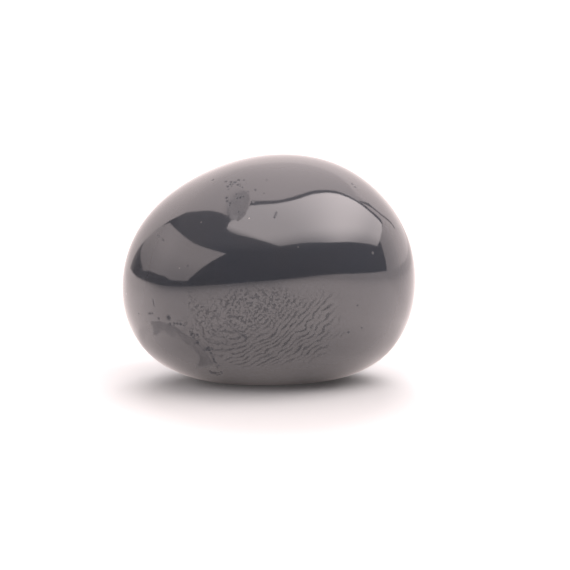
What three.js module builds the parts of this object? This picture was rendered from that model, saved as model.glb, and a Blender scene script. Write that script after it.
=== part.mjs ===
// A tumbled and polished piece of jet: one solid pebble about 30 mm long that rests on a small flat spot.
// Millimetres. +X runs along the pebble, +Z is up and -Y is its front.
// The origin lies on the resting plane, under the middle of the pebble's box.

import * as THREE from "three";
import { mergeVertices } from "three/addons/utils/BufferGeometryUtils.js";

// The plain ellipsoid that tumbling has left
const HALF_LENGTH = 14.6;
const HALF_DEPTH = 12.3;
const HALF_HEIGHT = 11.8;

// The ellipsoid's middle stands lower than its swollen underside reaches, so the resting spot comes out flat.
const MIDDLE_HEIGHT = 12.0;
// Height over which the edge of the resting spot is worn round
const SPOT_EDGE = 0.1;

// Where the pebble departs from the ellipsoid. Azimuth turns from the front (-Y) towards +X, and elevation
// from level to straight up, both in degrees. Spread is the angle at which a swell has sunk to 1/e of its
// height. A negative height is a place worn down.
const SWELLS = [
  { azimuth: -85, elevation: 45, spread: 50, height: -0.9 }, // long slope at the upper left
  { azimuth: -30, elevation: 60, spread: 20, height: 0.55 }, // brow of the slope
  { azimuth: -5, elevation: 55, spread: 20, height: -0.35 }, // hollow behind the brow
  { azimuth: 60, elevation: 50, spread: 20, height: 0.1 }, // right shoulder
  { azimuth: 90, elevation: 55, spread: 25, height: 0.25 }, // right shoulder, outer end
  { azimuth: -70, elevation: 15, spread: 20, height: -0.35 }, // left cheek, upper half
  { azimuth: -70, elevation: -5, spread: 20, height: -0.8 }, // left cheek, lower half
  { azimuth: -15, elevation: 5, spread: 25, height: -0.15 }, // flattened front
  { azimuth: 30, elevation: 15, spread: 20, height: 0.2 }, // right cheek
  { azimuth: 90, elevation: 15, spread: 25, height: 0.1 }, // right end
  { azimuth: -70, elevation: -30, spread: 40, height: 1.7 }, // full left heel
  { azimuth: -95, elevation: -25, spread: 30, height: 0.45 }, // left end
  { azimuth: 90, elevation: -35, spread: 30, height: 1.5 }, // full right heel
  { azimuth: 45, elevation: -40, spread: 30, height: 0.55 }, // right heel, front
  { azimuth: 135, elevation: -40, spread: 35, height: 0.9 }, // right heel, back
  { azimuth: -140, elevation: -40, spread: 35, height: 0.8 }, // left heel, back
  { azimuth: 150, elevation: 15, spread: 35, height: -0.6 }, // worn back, right
  { azimuth: -145, elevation: 30, spread: 30, height: -0.5 }, // worn back, left
];

// Round flake scar low on the front left. Its wall is steep on the upper right and runs out to nothing opposite.
const SCAR = { azimuth: -55, elevation: -35.5, radius: 18.6, wall: 5, depth: 0.14 };
const SCAR_STEEP_SIDE = 40; // degrees from straight up, clockwise
// Small shallow nick high on the front
const NICK = { azimuth: -20, elevation: 41, radius: 7.5, wall: 3, depth: 0.07 };

// Subdivision of the icosahedron: 20 * (DETAIL + 1)^2 triangles
const DETAIL = 19;

// Unit vector from the pebble's middle
function direction(azimuth, elevation) {
  const a = THREE.MathUtils.degToRad(azimuth);
  const e = THREE.MathUtils.degToRad(elevation);
  return new THREE.Vector3(Math.sin(a) * Math.cos(e), -Math.cos(a) * Math.cos(e), Math.sin(e));
}

function ellipsoidRadius(u) {
  return 1 / Math.hypot(u.x / HALF_LENGTH, u.y / HALF_DEPTH, u.z / HALF_HEIGHT);
}

// How far one swell lifts the surface in direction u
function swellHeight(swell, u) {
  const away = 1 - u.dot(direction(swell.azimuth, swell.elevation));
  const spread = 1 - Math.cos(THREE.MathUtils.degToRad(swell.spread));
  return swell.height * Math.exp(-away / spread);
}

// 1 on the floor of a round hollow, falling to 0 over its wall
function hollowShare(hollow, u) {
  const angle = THREE.MathUtils.radToDeg(u.angleTo(direction(hollow.azimuth, hollow.elevation)));
  return 1 - THREE.MathUtils.smoothstep(angle, hollow.radius - hollow.wall, hollow.radius);
}

// 1 on the scar's steep side, 0 on the side where it runs out
function scarSteepness(u) {
  const centre = direction(SCAR.azimuth, SCAR.elevation);
  const right = new THREE.Vector3(-centre.y, centre.x, 0).normalize();
  const up = new THREE.Vector3().crossVectors(centre, right);
  const turn = THREE.MathUtils.degToRad(SCAR_STEEP_SIDE);
  const steepSide = up.multiplyScalar(Math.cos(turn)).addScaledVector(right, Math.sin(turn));
  const reach = Math.sin(THREE.MathUtils.degToRad(SCAR.radius));
  return THREE.MathUtils.smoothstep(u.dot(steepSide) / reach, -0.6, 0.6);
}

// Distance from the pebble's middle to its surface in direction u
function pebbleRadius(u) {
  let radius = ellipsoidRadius(u);
  for (const swell of SWELLS) radius += swellHeight(swell, u);
  radius -= SCAR.depth * hollowShare(SCAR, u) * scarSteepness(u);
  radius -= NICK.depth * hollowShare(NICK, u);
  return radius;
}

// Nothing reaches below the resting plane, and the edge of the flat is rounded.
function restingHeight(z) {
  if (z <= -SPOT_EDGE) return 0;
  if (z >= SPOT_EDGE) return z;
  return (z + SPOT_EDGE) ** 2 / (4 * SPOT_EDGE);
}

function pebbleGeometry() {
  const geometry = new THREE.IcosahedronGeometry(1, DETAIL);
  geometry.deleteAttribute("normal");
  geometry.deleteAttribute("uv");
  const pebble = mergeVertices(geometry, 1e-5);
  const position = pebble.getAttribute("position");
  const point = new THREE.Vector3();
  for (let i = 0; i < position.count; i++) {
    point.fromBufferAttribute(position, i).normalize();
    point.multiplyScalar(pebbleRadius(point));
    point.z = restingHeight(point.z + MIDDLE_HEIGHT);
    position.setXYZ(i, point.x, point.y, point.z);
  }
  pebble.computeBoundingBox();
  const middle = pebble.boundingBox.getCenter(new THREE.Vector3());
  pebble.translate(-middle.x, -middle.y, 0);
  pebble.computeVertexNormals();
  return pebble;
}

// Near-black, with a hard polish
function polishedJet() {
  return new THREE.MeshStandardMaterial({ color: 0x2c2c2f, roughness: 0.06, metalness: 0 });
}

const stone = new THREE.Mesh(pebbleGeometry(), polishedJet());
stone.name = "jet_stone";

const polishedJetPebble = new THREE.Group();
polishedJetPebble.add(stone);

export default polishedJetPebble;
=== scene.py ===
# A tumbled and polished piece of jet on a white surface, lit by soft studio panels.
# Blender lengths are metres. Names that end in _MM hold millimetres, and angles are degrees.
# Azimuth turns from the front (-Y) towards +X, and elevation from level to straight up.

import math
import random

import bmesh
import bpy
import numpy as np
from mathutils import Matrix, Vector, noise


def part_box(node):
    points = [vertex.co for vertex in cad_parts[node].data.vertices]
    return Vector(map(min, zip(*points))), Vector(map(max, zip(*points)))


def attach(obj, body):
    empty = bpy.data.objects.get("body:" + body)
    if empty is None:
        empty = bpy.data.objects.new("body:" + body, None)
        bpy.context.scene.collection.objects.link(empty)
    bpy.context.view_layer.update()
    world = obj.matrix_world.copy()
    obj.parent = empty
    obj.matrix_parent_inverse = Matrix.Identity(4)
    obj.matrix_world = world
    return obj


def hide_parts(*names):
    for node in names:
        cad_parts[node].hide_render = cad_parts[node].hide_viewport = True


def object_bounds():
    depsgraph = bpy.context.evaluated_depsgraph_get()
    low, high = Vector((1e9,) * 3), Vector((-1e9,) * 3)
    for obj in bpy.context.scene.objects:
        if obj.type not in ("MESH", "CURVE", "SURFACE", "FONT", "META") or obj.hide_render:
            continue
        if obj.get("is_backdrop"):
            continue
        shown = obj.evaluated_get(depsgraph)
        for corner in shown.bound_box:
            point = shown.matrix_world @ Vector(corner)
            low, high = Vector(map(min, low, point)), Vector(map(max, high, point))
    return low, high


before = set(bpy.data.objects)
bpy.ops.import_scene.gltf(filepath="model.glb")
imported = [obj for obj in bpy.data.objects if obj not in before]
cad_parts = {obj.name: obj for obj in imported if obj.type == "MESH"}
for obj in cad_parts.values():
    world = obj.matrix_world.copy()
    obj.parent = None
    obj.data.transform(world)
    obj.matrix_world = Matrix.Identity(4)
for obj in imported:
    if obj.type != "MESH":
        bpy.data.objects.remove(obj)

CAD_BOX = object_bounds()
NODE = "jet_stone"
MM = 0.001


# Where things are on the pebble

def direction(azimuth, elevation):
    """Unit vector from the pebble's middle."""
    a, e = math.radians(azimuth), math.radians(elevation)
    return np.array([math.sin(a) * math.cos(e), -math.cos(a) * math.cos(e), math.sin(e)])


def tangents(centre):
    """Unit vectors to the right and upwards on the surface at a direction, seen from outside."""
    right = np.array([-centre[1], centre[0], 0.0])
    right /= np.linalg.norm(right)
    return right, np.cross(centre, right)


# The pebble's form

# The plain ellipsoid that tumbling has left
HALF_LENGTH_MM, HALF_DEPTH_MM, HALF_HEIGHT_MM = 14.6, 12.3, 11.8
MIDDLE_HEIGHT_MM = 12.0
# Height over which the edge of the resting spot is worn round
SPOT_EDGE_MM = 0.1

# Swells on the ellipsoid: azimuth, elevation, spread in degrees and height. A negative height is worn down.
SWELLS = [
    (-85, 45, 50, -0.9),  # long slope at the upper left
    (-30, 60, 20, 0.55),  # brow of the slope
    (-5, 55, 20, -0.35),  # hollow behind the brow
    (60, 50, 20, 0.1),  # right shoulder
    (90, 55, 25, 0.25),  # right shoulder, outer end
    (-70, 15, 20, -0.35),  # left cheek, upper half
    (-70, -5, 20, -0.8),  # left cheek, lower half
    (-15, 5, 25, -0.15),  # flattened front
    (30, 15, 20, 0.2),  # right cheek
    (90, 15, 25, 0.1),  # right end
    (-70, -30, 40, 1.7),  # full left heel
    (-95, -25, 30, 0.45),  # left end
    (90, -35, 30, 1.5),  # full right heel
    (45, -40, 30, 0.55),  # right heel, front
    (135, -40, 35, 0.9),  # right heel, back
    (-140, -40, 35, 0.8),  # left heel, back
    (150, 15, 35, -0.6),  # worn back, right
    (-145, 30, 30, -0.5),  # worn back, left
]

# Mean distance from the pebble's middle to its surface, to turn angles into lengths
MEAN_RADIUS_MM = 12.8

# Round flake scar low on the front left, steep at its upper right. Radius and wall are in degrees.
SCAR = direction(-55, -35.5)
SCAR_RADIUS, SCAR_WALL, SCAR_DEPTH_MM = 18.6, 5.3, 0.14
SCAR_STEEP_SIDE = 40  # degrees from straight up, clockwise
SCAR_STRAY, SCAR_FINE_STRAY = 0.9, 0.35  # degrees that its outline strays, broadly and finely
# Degrees over which the bare band of its wall fades: from the wall's foot inwards, to the left and downwards
SCAR_FADE_INWARDS, SCAR_FADE_LEFT, SCAR_FADE_DOWN = (-4.2, -2.0), (-4.8, -3.0), (-8.5, -5.0)

# Small oval facet knocked off high on the front, deepest towards its lower right. Half sizes are in degrees.
NICK = direction(-20, 40.5)
NICK_HALF_WIDTH, NICK_HALF_HEIGHT, NICK_DEPTH_MM = 6.2, 9.5, 0.06
NICK_STRAY, NICK_FINE_STRAY = 0.12, 0.06  # shares of the half sizes that its outline strays

# The unevenness that hand and drum leave under a polish: wavelength and height
WAVES_MM = [(6.0, 0.006), (2.2, 0.0012)]

# Pits that stand alone: azimuth, elevation and radius in millimetres
LONE_PITS = [
    (-47.4, -15.2, 0.26),  # the largest, above the scar
    (-53, -16, 0.13),
    (-40.5, -18.5, 0.09),
    (-59, -14.5, 0.11),  # three in a row, left of it
    (-57.8, -14.4, 0.12),
    (-56.6, -14.3, 0.10),
    (-67, -15.6, 0.08),
    (-21.5, 43.8, 0.13),  # three that run together in the nick
    (-19.6, 44.5, 0.17),
    (-17.8, 45.3, 0.13),
    (-18.3, 36, 0.10),
    (65, 44, 0.12),  # pair on the right shoulder
    (64.5, 42, 0.12),
    (-51, 53, 0.14),  # on the slope
    (40, -22.5, 0.13),  # right cheek
    (46.5, -20.5, 0.09),
    (42, -10, 0.09),
    (-38.5, 7.5, 0.08),  # left cheek
    (3.4, 33.5, 0.13),  # under the top, on the right
    (-1.5, 57.5, 0.10),  # top
    (-10, 50, 0.12),
    (150, 20, 0.16),  # back
    (-120, 35, 0.13),
    (-165, -10, 0.18),
]
# Chips broken out around the scar and the nick: centre, scatter in degrees sideways and upwards, how many
CHIP_CLUSTERS = [
    (direction(-45.5, -18.2), 1.3, 0.6, 6),
    (direction(-37, -22.8), 0.6, 1.3, 10),
    (direction(-36.5, -27), 1.0, 0.5, 7),
    (direction(-32.3, -30.7), 2.0, 0.9, 13),
    (direction(-31.4, -37.0), 0.3, 2.6, 16),
    (direction(-36.5, -47), 1.4, 1.3, 18),
    (direction(-28, 53.3), 2.7, 2.1, 20),
    (direction(-14, 51), 5.0, 4.0, 6),
    (direction(-26.5, 42), 1.8, 1.3, 4),
]
CHIP_RADIUS_MM = (0.06, 0.16)
CHIP_SEED = 11
PIT_STEEPNESS = 0.2  # depth as a share of radius

# Fine scratches: from azimuth and elevation to azimuth and elevation, and half width in millimetres
SCRATCHES = [
    ((-25.5, -11.5), (-11.5, -25), 0.17),  # across the smear
    ((-56.2, -8), (-55.3, -11), 0.08),  # left cheek, low
    ((-31.2, -33), (-32.2, -43), 0.09),  # down the scar's rim
    ((4.6, 36.2), (3.4, 33), 0.12),  # under the top, on the right
    ((-63.5, 18), (-57, 16.5), 0.07),  # left cheek
    ((110, 25), (128, 12), 0.08),  # back
    ((-170, 45), (-150, 38), 0.08),
]
SCRATCH_DEPTH_MM = 0.012
SCRATCH_BREAKS_MM = 0.7  # wavelength at which a scratch comes and goes

# Pale grains of dust on the polish: azimuth, elevation, radius in millimetres and how strongly they show
DUST_GRAINS = [
    (-11.2, 33.0, 0.12, 1.0),
    (-38.3, 28.4, 0.14, 0.3),
    (14.4, 18.1, 0.14, 0.2),
    (51.6, 11.5, 0.20, 0.3),
    (-42.7, 6.2, 0.12, 0.25),
]

# The mesh: levels of the sphere that it starts from, and the degrees around each small form within which its
# edges are halved, once for each margin
SPHERE_LEVELS = 7
FINE_MARGINS = (2.0, 1.0)


def angle_from(u, centre):
    """Degrees between each direction in u and a centre."""
    return np.degrees(np.arccos(np.clip(u @ centre, -1, 1)))


def smooth_step(x, low, high):
    t = np.clip((x - low) / (high - low), 0, 1)
    return t * t * (3 - 2 * t)


def noise_over(u, wavelength_mm, seed):
    """Smooth noise of about -1 to 1 over the surface."""
    scale = MEAN_RADIUS_MM / wavelength_mm
    shift = Vector((seed * 7.3, seed * 3.1, seed * 5.7))
    return np.array([noise.noise(Vector(p) * scale + shift) for p in u.tolist()])


def swollen_ellipsoid(u):
    radius = 1 / np.linalg.norm(u / [HALF_LENGTH_MM, HALF_DEPTH_MM, HALF_HEIGHT_MM], axis=1)
    for azimuth, elevation, spread, height in SWELLS:
        away = 1 - u @ direction(azimuth, elevation)
        radius += height * np.exp(-away / (1 - math.cos(math.radians(spread))))
    return radius


def scar_form(u):
    """Depth of the scar, and where its wall is bare of polish: 1 there."""
    right, up = tangents(SCAR)
    turn = math.radians(SCAR_STEEP_SIDE)
    side = u @ (up * math.cos(turn) + right * math.sin(turn)) / math.sin(math.radians(SCAR_RADIUS))
    steepness = smooth_step(side, -0.6, 0.6)
    coarse = noise_over(u, wavelength_mm=2.4, seed=1)
    fine = noise_over(u, wavelength_mm=0.8, seed=2)
    ragged = angle_from(u, SCAR) + SCAR_STRAY * coarse + SCAR_FINE_STRAY * fine
    foot = SCAR_RADIUS - SCAR_WALL
    floor = 1 - smooth_step(ragged, foot, SCAR_RADIUS)
    outer_edge = 1 - smooth_step(ragged, SCAR_RADIUS - 0.7, SCAR_RADIUS)
    inner_edge = smooth_step(ragged - 5 * side + 0.8 * fine, *(foot + fade for fade in SCAR_FADE_INWARDS))
    left_end = smooth_step(np.degrees(u @ right) + 0.5 * fine, *SCAR_FADE_LEFT)
    lower_end = smooth_step(np.degrees(u @ up) + 0.8 * coarse, *SCAR_FADE_DOWN)
    return SCAR_DEPTH_MM * floor * steepness, outer_edge * inner_edge * left_end * lower_end


def nick_form(u):
    """Depth of the nick, and where it is: 1 inside."""
    right, up = tangents(NICK)
    aside = np.degrees(u @ right) / NICK_HALF_WIDTH
    above = np.degrees(u @ up) / NICK_HALF_HEIGHT
    coarse = noise_over(u, wavelength_mm=1.6, seed=3)
    fine = noise_over(u, wavelength_mm=0.6, seed=4)
    ragged = np.hypot(aside, above) + NICK_STRAY * coarse + NICK_FINE_STRAY * fine
    ragged = np.where(u @ NICK > 0, ragged, 9)  # far outside on the stone's other half
    lower_right = np.clip((aside - above) / math.sqrt(2), -1, 1)
    left = np.clip(0.3 - aside, 0, 1)
    depth = NICK_DEPTH_MM * np.clip(1 - ragged**2, 0, 1) ** (1 + 2 * left) * (1 + 0.6 * lower_right)
    return depth, 1 - smooth_step(ragged, 0.88 - 0.75 * left, 1.0 + 0.3 * left)


def make_pits():
    """Every pit as direction and radius in millimetres."""
    pits = [(direction(azimuth, elevation), radius) for azimuth, elevation, radius in LONE_PITS]
    dice = random.Random(CHIP_SEED)
    for centre, aside, above, count in CHIP_CLUSTERS:
        right, up = tangents(centre)
        for _ in range(count):
            sideways = math.radians(dice.gauss(0, aside))
            upwards = math.radians(dice.gauss(0, above))
            place = centre + right * sideways + up * upwards
            pits.append((place / np.linalg.norm(place), dice.uniform(*CHIP_RADIUS_MM)))
    return pits


PITS = make_pits()


def pit_form(u):
    """Depth of the pits, and where they are: 1 at the bottom of each."""
    depth = np.zeros(len(u))
    inside = np.zeros(len(u))
    for place, radius in PITS:
        away = np.linalg.norm(u - place, axis=1) * MEAN_RADIUS_MM / radius
        depth = np.maximum(depth, radius * PIT_STEEPNESS * np.exp(-(away**2)))
        inside = np.maximum(inside, np.exp(-(away**4)))
    return depth, inside


def distance_to_arc(u, start, end):
    """Millimetres from each direction to the shortest way between two others."""
    way = end - start
    share = np.clip((u - start) @ way / (way @ way), 0, 1)
    return np.linalg.norm(u - start - share[:, None] * way, axis=1) * MEAN_RADIUS_MM


def scratch_form(u):
    """Depth of the scratches, and where they are: 1 on each, broken here and there."""
    inside = np.zeros(len(u))
    for start, end, half_width in SCRATCHES:
        away = distance_to_arc(u, direction(*start), direction(*end))
        inside = np.maximum(inside, np.exp(-((away / half_width) ** 2)))
    inside *= smooth_step(noise_over(u, SCRATCH_BREAKS_MM, seed=9), -0.35, 0.1)
    return SCRATCH_DEPTH_MM * inside, inside


def resting(points):
    """Lifts the points to the resting plane, with the edge of the flat rounded."""
    z = points[:, 2] + MIDDLE_HEIGHT_MM
    rounded = (z + SPOT_EDGE_MM) ** 2 / (4 * SPOT_EDGE_MM)
    points[:, 2] = np.where(z >= SPOT_EDGE_MM, z, np.where(z <= -SPOT_EDGE_MM, 0, rounded))
    return points


def pebble_form(u):
    """Points of the surface in each direction, in millimetres, and its wear: holes, scar wall and nick."""
    scar, wall = scar_form(u)
    nick, facet = nick_form(u)
    pits, pitted = pit_form(u)
    scratches, scratched = scratch_form(u)
    radius = swollen_ellipsoid(u) - scar - nick - pits - scratches
    for seed, (wavelength, height) in enumerate(WAVES_MM, start=5):
        radius += height * noise_over(u, wavelength, seed)
    holes = np.maximum(pitted, 0.9 * scratched)
    wear = np.stack([holes, wall, facet], axis=1)
    return resting(u * radius[:, None]), wear


def directions_of(bm):
    u = np.array([v.co[:] for v in bm.verts])
    return u / np.linalg.norm(u, axis=1)[:, None]


def refine(bm, near):
    """Halves the edges whose two ends are both near."""
    bm.verts.ensure_lookup_table()
    edges = [e for e in bm.edges if near[e.verts[0].index] and near[e.verts[1].index]]
    bmesh.ops.subdivide_edges(bm, edges=edges, cuts=1, use_grid_fill=True)
    bmesh.ops.triangulate(bm, faces=[f for f in bm.faces if len(f.verts) > 3])
    bm.verts.index_update()


def fine_places(u, margin):
    """True within a margin in degrees of the scar, the nick, a pit or a scratch."""
    near = angle_from(u, SCAR) < SCAR_RADIUS + margin
    near |= angle_from(u, NICK) < NICK_HALF_HEIGHT + 1 + margin
    for place, radius in PITS:
        near |= angle_from(u, place) < math.degrees(2 * radius / MEAN_RADIUS_MM) + margin
    for start, end, _ in SCRATCHES:
        away = distance_to_arc(u, direction(*start), direction(*end))
        near |= away < math.radians(margin) * MEAN_RADIUS_MM
    return near


def fit_into(points, box):
    """Brings the points to a box's middle and size, because fine curves bulge past flat facets."""
    low, high = points.min(axis=0), points.max(axis=0)
    box_low, box_high = np.array(box[0]), np.array(box[1])
    return (points - (low + high) / 2) * (box_high - box_low) / (high - low) + (box_low + box_high) / 2


def make_pebble():
    bm = bmesh.new()
    bmesh.ops.create_icosphere(bm, subdivisions=SPHERE_LEVELS, radius=1.0)
    bm.verts.index_update()
    for margin in FINE_MARGINS:
        refine(bm, fine_places(directions_of(bm), margin))
    points, wear = pebble_form(directions_of(bm))
    for vertex, point in zip(bm.verts, fit_into(points * MM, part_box(NODE))):
        vertex.co = point
    bmesh.ops.recalc_face_normals(bm, faces=bm.faces)
    for face in bm.faces:
        face.smooth = True
    mesh = bpy.data.meshes.new("polished_jet_stone")
    bm.to_mesh(mesh)
    bm.free()
    mesh.attributes.new("wear", "FLOAT_VECTOR", "POINT").data.foreach_set("vector", wear.ravel())
    pebble = bpy.data.objects.new("polished_jet_stone", mesh)
    bpy.context.scene.collection.objects.link(pebble)
    return pebble


# Shader maths written as sums and products

class Socket:
    """An output of a shader node. Arithmetic on it adds Math nodes."""

    def __init__(self, shader, link):
        self.shader = shader
        self.link = link

    def math(self, operation, *inputs):
        return self.shader.node("ShaderNodeMath", {"operation": operation}, dict(enumerate(inputs)))

    def __add__(self, other):
        return self.math("ADD", self, other)

    def __sub__(self, other):
        return self.math("SUBTRACT", self, other)

    def __rsub__(self, other):
        return self.math("SUBTRACT", other, self)

    def __mul__(self, other):
        return self.math("MULTIPLY", self, other)

    def __truediv__(self, other):
        return self.math("DIVIDE", self, other)

    def __rtruediv__(self, other):
        return self.math("DIVIDE", other, self)

    def __pow__(self, other):
        return self.math("POWER", self, other)

    __radd__ = __add__
    __rmul__ = __mul__


class Shader:
    """The node tree of one material or world."""

    def __init__(self, owner):
        owner.use_nodes = True
        self.tree = owner.node_tree
        self.tree.nodes.clear()

    def node(self, kind, settings=(), inputs=(), output=0):
        """Adds a node, sets it up, fills its inputs by name or number and returns one of its outputs."""
        node = self.tree.nodes.new(kind)
        for name, value in dict(settings).items():
            setattr(node, name, value)
        for name, value in dict(inputs).items():
            if isinstance(value, Socket):
                self.tree.links.new(value.link, node.inputs[name])
            else:
                node.inputs[name].default_value = value
        return Socket(self, node.outputs[output]) if node.outputs else None

    def vector(self, operation, *inputs, output=0):
        return self.node("ShaderNodeVectorMath", {"operation": operation}, dict(enumerate(inputs)), output)

    def dot(self, vector, axis):
        return self.vector("DOT_PRODUCT", vector, tuple(axis), output=1)

    def scaled(self, vector, factor):
        return self.node("ShaderNodeVectorMath", {"operation": "SCALE"}, {0: vector, "Scale": factor})

    def noise(self, place, wavelength, detail=2.0, roughness=0.5):
        """Fractal noise from 0 to 1, with a wavelength in the units of place."""
        inputs = {
            "Vector": place,
            "Scale": 1 / wavelength,
            "Detail": detail,
            "Roughness": roughness,
        }
        return self.node("ShaderNodeTexNoise", {}, inputs)

    def step(self, value, low, high):
        """0 below low, 1 above high, smooth between. With low above high it falls."""
        inputs = {"Value": value, "From Min": min(low, high), "From Max": max(low, high)}
        inputs["To Min"], inputs["To Max"] = (0, 1) if low < high else (1, 0)
        return self.node("ShaderNodeMapRange", {"interpolation_type": "SMOOTHSTEP"}, inputs)

    def size(self, value):
        """The value without its sign."""
        return self.node("ShaderNodeMath", {"operation": "ABSOLUTE"}, {0: value})

    def larger(self, a, b):
        return self.node("ShaderNodeMath", {"operation": "MAXIMUM"}, {0: a, 1: b})

    def mix_colour(self, factor, a, b):
        return self.node("ShaderNodeMix", {"data_type": "RGBA"}, {0: factor, 6: a, 7: b}, output=2)

    def surface(self, socket):
        self.node("ShaderNodeOutputMaterial", {}, {"Surface": socket})


# The polish and what has marked it

JET = (0.0325, 0.0375, 0.0465, 1)
JET_BROWNER = (0.037, 0.0385, 0.044, 1)
# Pits and scratches get a darker colour: painted shade in these hollows
HOLE_SHADE_COLOUR = (0.028, 0.032, 0.04, 1)
DUST_COLOUR = (0.22, 0.215, 0.21, 1)
GREASE_COLOUR = (0.085, 0.085, 0.088, 1)
JET_IOR = 1.66
POLISH_ROUGHNESS = 0.05
# What the haze, the finger's film, the nick, the scar's wall, dust and holes add to it
HAZE_ROUGHNESS, FILM_ROUGHNESS = 0.03, 0.03
NICK_ROUGHNESS, WALL_ROUGHNESS = 0.20, 0.14
DUST_ROUGHNESS, HOLE_ROUGHNESS = 0.4, 0.3
# Grease and dull, weathered stone mirror less than a polish does, and less sharply.
DULL_IOR = 1.34
DULL_EXTRA_ROUGHNESS = 0.25
GREASE_DULLNESS, HOLE_DULLNESS = 0.88, 0.85
FILM_TINT = 0.3

# The finger's smear, and the middle of the whorl that its ridges run around
SMEAR = direction(-4, -23)
SMEAR_HALF_WIDTH_MM, SMEAR_HALF_HEIGHT_MM = 7.7, 5.0
SMEAR_SQUARENESS = 3.0  # 2 for an oval, more for a rounded rectangle
WHORL = direction(-9, -9)
WHORL_STRETCH = 2.0
RIDGE_SPACING_MM = 0.46
RIDGE_SLANT = 40  # degrees that the ridges rise towards the right
RIDGE_WANDER_MM, RIDGE_WANDER_LENGTH_MM = 1.4, 2.1
RIDGE_BREAKS_MM = 0.36
BREAKS_DRAWN_OUT = 0.35  # scale along the ridges, so that a break is about three times as long as wide
BLOTS_MM, PATCHES_MM, SMEAR_EDGE_MM = 0.23, 1.1, 1.7

# Wavelengths of the slow and the fine unevenness of the polish
HAZE_MM, CLOUDS_MM, MOTTLE_MM = 5.0, 0.9, 0.35
# Heights in the bump: the grain of bare stone, the clouds and the grease
BARE_GRAIN_MM, CLOUD_HEIGHT_MM, GREASE_HEIGHT_MM = 0.012, 0.0012, 0.0014

# Dust that is scattered over the whole stone
DUST_SPACING_MM, DUST_SIZE_MM = 2.1, 0.12
DUST_SHARE = 0.08


def along_surface(shader, outward, centre, turn=0.0):
    """Millimetres to the right and up from a centre, along axes turned anticlockwise by turn degrees."""
    right, up = tangents(centre)
    a = math.radians(turn)
    along = right * math.cos(a) + up * math.sin(a)
    across = up * math.cos(a) - right * math.sin(a)
    return [shader.dot(outward, axis * MEAN_RADIUS_MM) for axis in (along, across)]


def smear_grease(shader, place, outward):
    """Where a finger has left grease, in blots and broken ridges, and where a thin film lies."""
    along, across = along_surface(shader, outward, WHORL, RIDGE_SLANT)
    wander = (shader.noise(place, RIDGE_WANDER_LENGTH_MM) - 0.5) * RIDGE_WANDER_MM
    loop = ((along / WHORL_STRETCH) ** 2.0 + (across + wander) ** 2.0) ** 0.5
    wave = shader.node("ShaderNodeMath", {"operation": "SINE"}, {0: loop * (math.tau / RIDGE_SPACING_MM)})
    drawn_out = shader.node("ShaderNodeCombineXYZ", {}, {0: along * BREAKS_DRAWN_OUT, 1: across})
    broken = shader.noise(drawn_out, RIDGE_BREAKS_MM)
    ridges = shader.step(wave * 0.6 + (broken - 0.5) * 2.8, -0.05, 0.7)
    blots = shader.step(wave * 0.06 + shader.noise(place, BLOTS_MM, detail=1.0), 0.46, 0.6)
    right, upwards = along_surface(shader, outward, SMEAR)
    pressed = shader.step(right * 0.5 - upwards, -2.4, 1.3)
    reach = (
        (shader.size(right) / SMEAR_HALF_WIDTH_MM) ** SMEAR_SQUARENESS
        + (shader.size(upwards) / SMEAR_HALF_HEIGHT_MM) ** SMEAR_SQUARENESS
    ) ** (1 / SMEAR_SQUARENESS)
    ragged = reach + (shader.noise(place, SMEAR_EDGE_MM, detail=3.0) - 0.5) * 0.7
    front = shader.step(shader.dot(outward, SMEAR), 0.2, 0.5)
    inside = shader.step(ragged, 1.05, 0.75) * front
    patchy = shader.step(shader.noise(place, PATCHES_MM), 0.3, 0.55)
    grease = blots * (1 - pressed) * 0.9 + ridges * pressed
    return grease * inside * (0.6 + 0.4 * patchy), inside


def specks(shader, place, spacing_mm, share, size_mm):
    """Scattered dots: 1 on a dot. Share is how many of the cells hold one."""
    settings = {"feature": "F1", "distance": "EUCLIDEAN"}
    inputs = {"Vector": place, "Scale": 1 / spacing_mm, "Randomness": 1.0}
    away = shader.node("ShaderNodeTexVoronoi", settings, inputs)
    cell = shader.node("ShaderNodeTexVoronoi", settings, inputs, output=1)
    chosen = shader.node("ShaderNodeSeparateColor", {}, {0: cell})
    lucky = shader.node("ShaderNodeMath", {"operation": "LESS_THAN"}, {0: chosen, 1: share})
    return lucky * shader.step(away * spacing_mm, size_mm, size_mm * 0.45)


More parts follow.
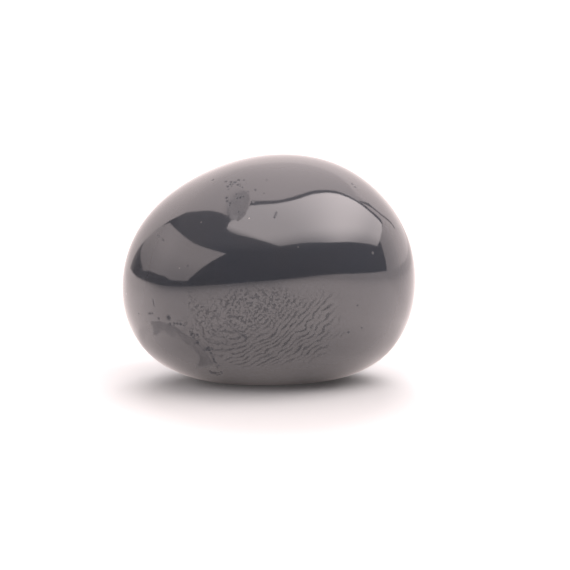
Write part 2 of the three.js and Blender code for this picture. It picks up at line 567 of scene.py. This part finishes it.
def polished_jet(middle):
    material = bpy.data.materials.new("polished_jet")
    shader = Shader(material)
    coordinates = shader.node("ShaderNodeTexCoord", {}, {}, output="Object")
    place = shader.scaled(coordinates, 1 / MM)
    outward = shader.vector("NORMALIZE", shader.vector("SUBTRACT", place, tuple(middle / MM)))
    wear = shader.node("ShaderNodeAttribute", {"attribute_name": "wear"}, {}, output="Vector")
    holes, wall, facet = (shader.dot(wear, axis) for axis in np.eye(3))

    grease, film = smear_grease(shader, place, outward)
    haze = shader.noise(place, HAZE_MM, detail=3.0)
    clouds = shader.noise(place, CLOUDS_MM, detail=4.0, roughness=0.6)
    mottle = shader.noise(place, MOTTLE_MM, detail=3.0)
    dust = specks(shader, place, DUST_SPACING_MM, DUST_SHARE, DUST_SIZE_MM)
    for azimuth, elevation, radius, strength in DUST_GRAINS:
        away = shader.vector("DISTANCE", outward, tuple(direction(azimuth, elevation)), output=1)
        dust = shader.larger(dust, shader.step(away * MEAN_RADIUS_MM, radius, radius * 0.4) * strength)

    worn = facet * NICK_ROUGHNESS + wall * WALL_ROUGHNESS
    roughness = POLISH_ROUGHNESS + haze * HAZE_ROUGHNESS + film * FILM_ROUGHNESS + worn
    roughness = roughness + dust * DUST_ROUGHNESS + holes * HOLE_ROUGHNESS
    stone_colour = shader.mix_colour(haze, JET, JET_BROWNER)
    greasy_colour = shader.mix_colour(film * FILM_TINT, stone_colour, GREASE_COLOUR)
    dusty_colour = shader.mix_colour(dust, greasy_colour, DUST_COLOUR)
    # Painted shade: pits and scratches are coloured darker than the stone
    colour = shader.mix_colour(holes, dusty_colour, HOLE_SHADE_COLOUR)

    grain = (mottle - 0.5) * (facet * BARE_GRAIN_MM + wall * BARE_GRAIN_MM)
    height = grain + (clouds - 0.5) * CLOUD_HEIGHT_MM + grease * GREASE_HEIGHT_MM
    bump = shader.node("ShaderNodeBump", {}, {"Strength": 1.0, "Distance": MM, "Height": height})

    shared = {"Base Color": colour, "Normal": bump}
    polish = shader.node(
        "ShaderNodeBsdfPrincipled", {}, {**shared, "Roughness": roughness, "IOR": JET_IOR})
    dull_roughness = roughness + DULL_EXTRA_ROUGHNESS
    dull = shader.node(
        "ShaderNodeBsdfPrincipled", {}, {**shared, "Roughness": dull_roughness, "IOR": DULL_IOR})
    greasy = grease * GREASE_DULLNESS + film * (0.02 + 0.06 * clouds)
    dulled = wall * (0.35 + 0.5 * mottle) + facet * (0.2 + 0.4 * mottle)
    share = shader.larger(shader.larger(greasy, dulled), holes * HOLE_DULLNESS) + clouds * 0.05
    shader.surface(shader.node("ShaderNodeMixShader", {}, {0: share, 1: polish, 2: dull}))
    return material


# The studio

# Colours of the light on the paper and, warmer, of the main panel and of the rest that the stone mirrors
LIGHT = (1.0, 0.915, 0.928)
MAIN_LIGHT = (1.0, 0.89, 0.88)
WARM_LIGHT = (1.0, 0.865, 0.845)
# How high the two panels overhead hang, and how far they are turned from the camera's left to right
PANEL_HEIGHT = 1.6
PANEL_TURN = 32
LONG_WAY = np.array([math.cos(math.radians(PANEL_TURN)), math.sin(math.radians(PANEL_TURN)), 0])
WIDE_WAY = np.array([-LONG_WAY[1], LONG_WAY[0], 0])

# Their corners, along and across their length in panel heights
MAIN_PANEL = [
    (-0.78, -1.28), (-0.3, -1.30), (0.4, -1.45), (3.0, -1.50), (2.55, -0.54), (2.35, -0.16),
    (2.12, -0.115), (1.61, -0.105), (1.4, -0.095), (1.1, -0.07), (0.7, -0.05), (0.3, -0.06),
    (0.12, -0.085), (-0.05, -0.083), (-0.2, -0.068), (-0.28, -0.045), (-0.5, -0.09), (-0.69, -0.14),
    (-0.80, -0.19), (-0.86, -0.30), (-0.88, -0.45), (-0.84, -0.65), (-0.81, -0.9),
]
BACK_PANEL = [
    (-0.585, 0.0), (-0.16, -0.02), (-0.05, -0.03), (0.02, -0.037), (0.13, -0.025), (0.3, 0.0),
    (0.7, 0.01), (1.1, -0.02), (1.25, -0.02), (1.5, 0.13), (3.0, 1.6), (3.0, 3.0), (-0.9, 3.0),
    (-0.7, 2.2), (-0.63, 1.2), (-0.63, 0.64), (-0.60, 0.3), (-0.575, 0.08),
]

# Corners of the upright panels, each as the azimuth and elevation at which the stone sees it
SIDE_WINDOW = [
    (-55.3, 5), (-46, 14.3), (-39.8, 20), (-34.7, 24), (-30.4, 27), (-40.9, 30.3), (-52, 32.7),
    (-67, 34.4), (-88, 34.8), (-105, 32.3), (-123.5, 26.8), (-129.5, 19.5), (-131.6, 13),
    (-132, 10.5), (-129.3, 7.4), (-127.2, 5.8), (-124.5, 4.4), (-122, 2.6), (-116.9, 3.9),
    (-90.9, 6.1), (-79.2, 4.7),
]
WINDOW_SILL = [(-52, 0), (-134.8, 0), (-133, 8), (-131, 13), (-118, 13), (-60, 6)]
RIGHT_WALL = [
    (96.8, 0), (128, 0), (128, 36), (121.6, 38), (121.2, 35), (121, 31), (121.6, 27.5), (121.8, 24.6),
    (120.2, 23.2), (114.2, 22.3), (107, 21.2), (102.5, 19.4), (101, 18), (100.6, 16.5), (99.3, 13.5),
    (98.3, 9), (97, 3),
]
BACK_WALL_STOPS = (128, 151, 174, 197)
BACK_WALL_TOP = 40
BACK_WALL_LEFT = [
    (197, 0), (225, 0), (225.5, 3), (227, 8), (228.6, 13), (230.6, 19), (234, 26), (239, 34),
    (243, 40), (197, 40),
]
LAMP_STAND = [
    (121.5, 39), (126.2, 33), (126.2, 28), (127.3, 24), (132.6, 16), (133.2, 13), (135, 13),
    (134.4, 16), (129.2, 24), (128, 28), (128, 32.5), (122.5, 39.5),
]

# How bright each panel is, and what its brightest part adds. The window instead loses some at its far end.
MAIN_GLOW, MAIN_GLOW_ADDED = 3.8, 2.47
BACK_GLOW, BACK_GLOW_ADDED = 1.49, 2.16
WALL_GLOW, WALL_GLOW_ADDED = 1.75, 0.58
WINDOW_GLOW, WINDOW_GLOW_LOST = 2.07, 0.85
SILL_GLOW, SILL_GLOW_ADDED = 0.12, 0.4
LAMP_STAND_GLOW = 0.35

# How far from the stone the upright panels stand
NEAR_PANELS, FAR_WALLS, SILL = 1.0, 1.4, 1.5


def glowing(name, strength, colour):
    """A light source. Strength is a number, or a function of the shader and the place in metres."""
    material = bpy.data.materials.new(name)
    shader = Shader(material)
    if callable(strength):
        place = shader.node("ShaderNodeTexCoord", {}, {}, output="Object")
        strength = strength(shader, place)
    shader.surface(shader.node("ShaderNodeEmission", {}, {"Color": (*colour, 1), "Strength": strength}))
    return material


def add_panel(name, corners, strength, colour=WARM_LIGHT):
    """A flat glowing panel with the given corners, not seen by the camera itself."""
    bm = bmesh.new()
    bm.faces.new([bm.verts.new(c) for c in corners])
    bmesh.ops.triangulate(bm, faces=bm.faces)
    mesh = bpy.data.meshes.new(name)
    bm.to_mesh(mesh)
    bm.free()
    panel = bpy.data.objects.new(name, mesh)
    bpy.context.scene.collection.objects.link(panel)
    panel.data.materials.append(glowing(name, strength, colour))
    panel.visible_camera = False
    panel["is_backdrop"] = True


def overhead(corners):
    """Corners in space of a level panel."""
    up = np.array([0, 0, 1])
    return [Vector(PANEL_HEIGHT * (LONG_WAY * along + WIDE_WAY * across + up)) for along, across in corners]


def upright(towards, distance, corners):
    """Corners in space of a panel that stands square to a direction."""
    facing = direction(*towards)
    seen = [direction(*c) for c in corners]
    return [Vector(c * distance / (c @ facing)) for c in seen]


def main_glow(shader, place):
    """Brightest towards the right, and fading at the panel's near edge."""
    along = shader.dot(place, LONG_WAY / PANEL_HEIGHT)
    across = shader.dot(place, WIDE_WAY / PANEL_HEIGHT)
    hot = shader.step(along, -0.3, 0.65) * shader.step(along, 1.9, 0.65)
    weakest = 0.43 + 0.17 * shader.step(along, 0.1, 0.9)
    near_edge = weakest + (1 - weakest) * shader.step(across, -1.45, -0.7)
    left_end = 0.45 + 0.55 * shader.step(along, -0.88, -0.72)
    return (MAIN_GLOW + MAIN_GLOW_ADDED * hot) * near_edge * left_end


def back_glow(shader, place):
    """Brightest overhead, weaker the further it is."""
    away = shader.vector("DOT_PRODUCT", place, place, output=1) / PANEL_HEIGHT**2
    return BACK_GLOW + BACK_GLOW_ADDED / (away + 0.5)


def wall_glow(shader, place):
    """Brighter towards its head and towards the right, weaker at its near end."""
    side = shader.dot(place, (1, 0, 0))
    near_end = 0.74 + 0.38 * shader.step(shader.dot(place, (0, 1, 0)), 0.2, 0.8)
    head = WALL_GLOW + WALL_GLOW_ADDED * shader.step(shader.dot(place, (0, 0, 1)), 0.3, 1.2)
    return head * (0.95 + 0.09 * side) * near_end


def window_glow(shader, place):
    """Weaker towards its far left end and its foot."""
    left = shader.dot(place, direction(-170, 0))
    foot = shader.step(shader.dot(place, (0, 0, 1)), 0.08, 0.45)
    far_end = shader.step(left, 0.2, 1.1)
    return (WINDOW_GLOW - WINDOW_GLOW_LOST * far_end) * (0.66 + 0.34 * foot)


def sill_glow(shader, place):
    """A dim strip under the window, brighter at its far left end."""
    return SILL_GLOW + SILL_GLOW_ADDED * shader.step(shader.dot(place, (0, 1, 0)), 1.08, 1.32)


def make_panels():
    add_panel("main_panel", overhead(MAIN_PANEL), main_glow, MAIN_LIGHT)
    add_panel("back_panel", overhead(BACK_PANEL), back_glow)
    add_panel("side_window", upright((-80, 18), NEAR_PANELS, SIDE_WINDOW), window_glow)
    add_panel("window_sill", upright((-95, 5), SILL, WINDOW_SILL), sill_glow)
    add_panel("right_wall", upright((114, 10), FAR_WALLS, RIGHT_WALL), wall_glow)
    for number, (start, end) in enumerate(zip(BACK_WALL_STOPS, BACK_WALL_STOPS[1:])):
        corners = [(start, 0), (end, 0), (end, BACK_WALL_TOP), (start, BACK_WALL_TOP)]
        facing = ((start + end) / 2, 0)
        add_panel(f"back_wall_{number}", upright(facing, FAR_WALLS, corners), wall_glow)
    add_panel("back_wall_left", upright((215, 5), FAR_WALLS, BACK_WALL_LEFT), wall_glow)
    add_panel("lamp_stand", upright((130, 24), NEAR_PANELS, LAMP_STAND), LAMP_STAND_GLOW)


# The white surface
PAPER = (0.387, 0.4, 0.403, 1)
PAPER_RADIUS = 1.5
PAINTED_FILL_GLOW = 0.04  # painted fill light: the paper's own faint glow, which lifts its darkest place
# The paper's painted reflection: a glow with a painted shadow, which the stone mirrors instead of the lit
# paper
PAINTED_REFLECTION_STRENGTH = 1.06  # its strength in the stone's reflection
SPOT_LINE_MM = 3  # half the length of the resting spot's middle line
PAPER_LIGHT_WIDTH, PAPER_LIGHT_DISTANCE = 0.8, 1.2


def painted_paper_reflection(shader, place):
    """How bright the stone mirrors the paper: a painted reflection with a painted shadow.

    It is dark around the resting spot, and weaker far off, at the front left and behind the stone.
    """
    right, back = (shader.dot(place, axis / MM) for axis in np.eye(3)[:2])
    beside = shader.size(right) - SPOT_LINE_MM
    away = (shader.larger(beside, 0.0) ** 2.0 + back**2.0) ** 0.5
    # Painted shadow around the resting spot, by millimetres from its middle line
    painted_shadow = 0.1 + 1.2 * shader.step(away, 2.5, 10) + 0.9 * shader.step(away, 5, 22)
    far = shader.step(shader.vector("LENGTH", place, output=1), 0.03, 0.2)
    front_left = shader.step(shader.dot(place, direction(-40, 0)), 0.0, 0.35)
    far_right = shader.step(right, 40, 150)
    beam = shader.step(right, 0, 22) * shader.step(back, 15, 0)
    behind = shader.step(back, -3, 6) * shader.step(away, 24, 10)
    weaker = (1 - 0.18 * far) * (1 - 0.2 * far_right) * (1 - 0.5 * front_left) * (1 - 0.35 * behind)
    return painted_shadow * weaker * (0.97 + 0.12 * beam)


def make_floor():
    bm = bmesh.new()
    bmesh.ops.create_circle(bm, cap_ends=True, radius=PAPER_RADIUS, segments=96)
    mesh = bpy.data.meshes.new("white_surface")
    bm.to_mesh(mesh)
    bm.free()
    floor = bpy.data.objects.new("white_surface", mesh)
    bpy.context.scene.collection.objects.link(floor)
    material = bpy.data.materials.new("white_paper")
    shader = Shader(material)
    place = shader.node("ShaderNodeTexCoord", {}, {}, output="Object")
    # For glossy rays the paper is a painted reflection: a glow with a painted shadow, not the lit paper
    brightness = painted_paper_reflection(shader, place) * PAINTED_REFLECTION_STRENGTH
    glow = shader.node("ShaderNodeEmission", {}, {"Color": (*WARM_LIGHT, 1), "Strength": brightness})
    # The paper's faint glow is painted fill light in its shadows
    paper = shader.node("ShaderNodeAddShader", {}, {
        0: shader.node("ShaderNodeBsdfDiffuse", {}, {"Color": PAPER}),
        1: shader.node("ShaderNodeEmission", {}, {"Color": (*LIGHT, 1), "Strength": PAINTED_FILL_GLOW})})
    seen_in_stone = shader.node("ShaderNodeLightPath", {}, {}, output="Is Glossy Ray")
    shader.surface(shader.node("ShaderNodeMixShader", {}, {0: seen_in_stone, 1: paper, 2: glow}))
    floor.data.materials.append(material)
    floor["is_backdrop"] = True
    return floor


def add_paper_light(name, floor, towards, power):
    """A soft light from a direction that falls on the paper alone."""
    light = bpy.data.objects.new(name, bpy.data.lights.new(name, "AREA"))
    bpy.context.scene.collection.objects.link(light)
    light.data.shape = "DISK"
    light.data.size = PAPER_LIGHT_WIDTH
    light.data.energy = power
    light.data.color = LIGHT
    towards = Vector(direction(*towards))
    light.location = towards * PAPER_LIGHT_DISTANCE
    light.rotation_euler = towards.to_track_quat("Z", "Y").to_euler()
    lit = bpy.data.collections.new(name)
    lit.objects.link(floor)
    light.light_linking.receiver_collection = lit


# The surround: white for the camera, nearly dark for the stone, with a dim ceiling for both
SEEN_WHITE, SURROUND_GLOW, CEILING_GLOW = 1.6, 0.03, 0.22


def make_world():
    world = bpy.data.worlds.new("studio")
    bpy.context.scene.world = world
    shader = Shader(world)
    seen = shader.node("ShaderNodeLightPath", {}, {}, output="Is Camera Ray")
    towards = shader.node("ShaderNodeTexCoord", {}, {}, output="Generated")
    ceiling = shader.step(shader.dot(towards, (0, 0, 1)), 0.45, 0.62)
    strength = seen * SEEN_WHITE + SURROUND_GLOW + CEILING_GLOW * ceiling
    light = shader.node("ShaderNodeBackground", {}, {"Color": (*LIGHT, 1), "Strength": strength})
    shader.node("ShaderNodeOutputWorld", {}, {"Surface": light})


# The camera

CAMERA_DISTANCE_MM = 300
CAMERA_ELEVATION = 10
# Point of the stone's front that the camera's height and distance are taken from
FRONT_MM = (-0.024, 0.04, 11.5)
# Point that the camera looks at, right of the stone's middle and below it
AIM_MM = (1.677, -0.226, 9.993)
LENS_MM = 183.8
SENSOR_WIDTH_MM = 36
NEAREST, FURTHEST = 0.01, 10


def make_camera():
    camera = bpy.data.objects.new("camera", bpy.data.cameras.new("camera"))
    bpy.context.scene.collection.objects.link(camera)
    camera.data.sensor_width = SENSOR_WIDTH_MM
    camera.data.lens = LENS_MM
    camera.data.clip_start = NEAREST
    camera.data.clip_end = FURTHEST
    place = Vector(FRONT_MM) + Vector(direction(0, CAMERA_ELEVATION)) * CAMERA_DISTANCE_MM
    camera.location = place * MM
    camera.rotation_euler = (Vector(AIM_MM) - place).to_track_quat("-Z", "Y").to_euler()
    bpy.context.scene.camera = camera


make_camera()
make_world()
paper = make_floor()
make_panels()
add_paper_light("back_light", paper, (180, 40), 21)
add_paper_light("front_light", paper, (-35, 30), 8)

stone = make_pebble()
low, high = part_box(NODE)
stone_middle = np.array([(low[0] + high[0]) / 2, (low[1] + high[1]) / 2, MIDDLE_HEIGHT_MM * MM])
stone.data.materials.append(polished_jet(stone_middle))
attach(stone, "root")
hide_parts(NODE)

bpy.context.scene.view_settings.view_transform = "Standard"

sizes = {"cad_box": CAD_BOX, "visual_box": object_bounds()}
sizes = {name: [[float(x) for x in corner] for corner in box] for name, box in sizes.items()}
